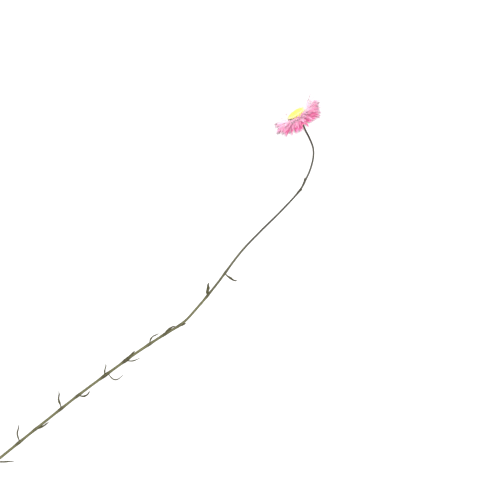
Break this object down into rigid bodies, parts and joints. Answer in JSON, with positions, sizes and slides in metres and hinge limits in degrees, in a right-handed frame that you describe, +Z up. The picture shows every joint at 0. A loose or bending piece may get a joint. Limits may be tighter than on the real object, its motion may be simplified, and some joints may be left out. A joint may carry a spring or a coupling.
{
  "type": "dried paper daisy",
  "caption": "One dried paper daisy lying on its side: a thin bent stem with shrivelled leaves and a pink papery bloom with a yellow disc.",
  "frame": {"origin": "middle of the footprint on the surface that the flower lies on", "axes": "+X along the stem from its cut end towards the bloom, +Z up from the surface, +Y to the side the bloom turns to"},
  "size_m": [0.4526, 0.0691, 0.0439],
  "materials": {
    "dried_stem": "matte, finely ribbed",
    "papery_pink": "dry and papery with a silky gloss",
    "papery_straw": "dry and papery",
    "floret_yellow": "matte"
  },
  "bodies": {
    "root": {"leafy_stem": "dried_stem", "pink_bracts": "papery_pink", "base_scales": "papery_straw", "disc_florets": "floret_yellow"}
  },
  "joints": []
}
